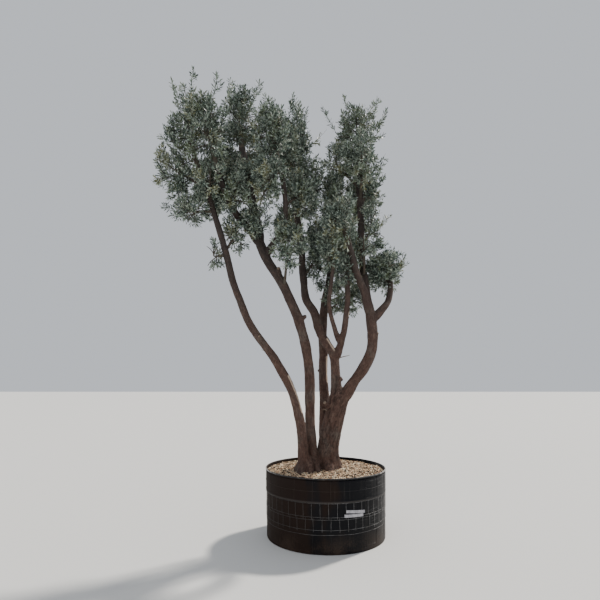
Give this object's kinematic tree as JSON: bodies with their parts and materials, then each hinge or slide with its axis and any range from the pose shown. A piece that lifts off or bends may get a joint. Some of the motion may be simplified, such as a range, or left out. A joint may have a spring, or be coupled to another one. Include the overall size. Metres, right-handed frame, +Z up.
{
  "type": "potted olive tree",
  "caption": "Olive tree with several leaning stems and an open grey-green crown, standing in a wide round growing pot filled with potting mix.",
  "frame": {"origin": "centre of the pot's flat underside, on the floor", "axes": "+Z up the tree; -Y is the front, where the picture was taken from; +X is the right side seen from the front"},
  "size_m": [2.6902, 1.6231, 4.9533],
  "materials": {
    "pot_plastic": "dusty, slightly glossy",
    "collar_plastic": "worn",
    "mulch": "loose chips",
    "bark": "rough bark",
    "leaves": "leathery, silvery underneath"
  },
  "bodies": {
    "root": {"pot": "pot_plastic", "pot_collar": "collar_plastic", "potting_mix": "mulch", "trunk_right": "bark", "stem_middle": "bark", "stem_left": "bark", "stem_back": "bark", "bough_centre": "bark", "bough_front_right": "bark", "bough_front_left": "bark", "bough_right": "bark", "bough_right_top": "bark", "bough_right_front": "bark", "bough_right_low": "bark", "bough_left_back": "bark", "bough_left_front": "bark", "bough_middle_front": "bark", "foliage_middle_low": "leaves", "foliage_left_top": "leaves", "foliage_left_side": "leaves", "foliage_left_low": "leaves", "foliage_left_inner": "leaves", "foliage_left_fork": "leaves", "foliage_left_tuft": "leaves", "foliage_left_near": "leaves", "foliage_back_top": "leaves", "foliage_back_right": "leaves", "foliage_back_low": "leaves", "foliage_centre_top": "leaves", "foliage_centre_side": "leaves", "foliage_centre_front": "leaves", "foliage_centre_back": "leaves", "foliage_centre_low": "leaves", "foliage_front_right": "leaves", "foliage_front_left": "leaves", "foliage_right_top": "leaves", "foliage_right_front": "leaves", "foliage_right_side": "leaves", "foliage_right_back": "leaves", "foliage_right_link": "leaves", "foliage_right_middle": "leaves", "foliage_right_near": "leaves", "foliage_right_hanging": "leaves", "foliage_right_low": "leaves", "foliage_left_back_top": "leaves", "foliage_left_back": "leaves", "foliage_back": "leaves", "foliage_middle_inner": "leaves", "foliage_left_front": "leaves", "foliage_left_middle": "leaves", "foliage_middle_fork": "leaves", "foliage_middle_top": "leaves", "foliage_middle_front": "leaves", "foliage_middle_right": "leaves"}
  },
  "joints": []
}
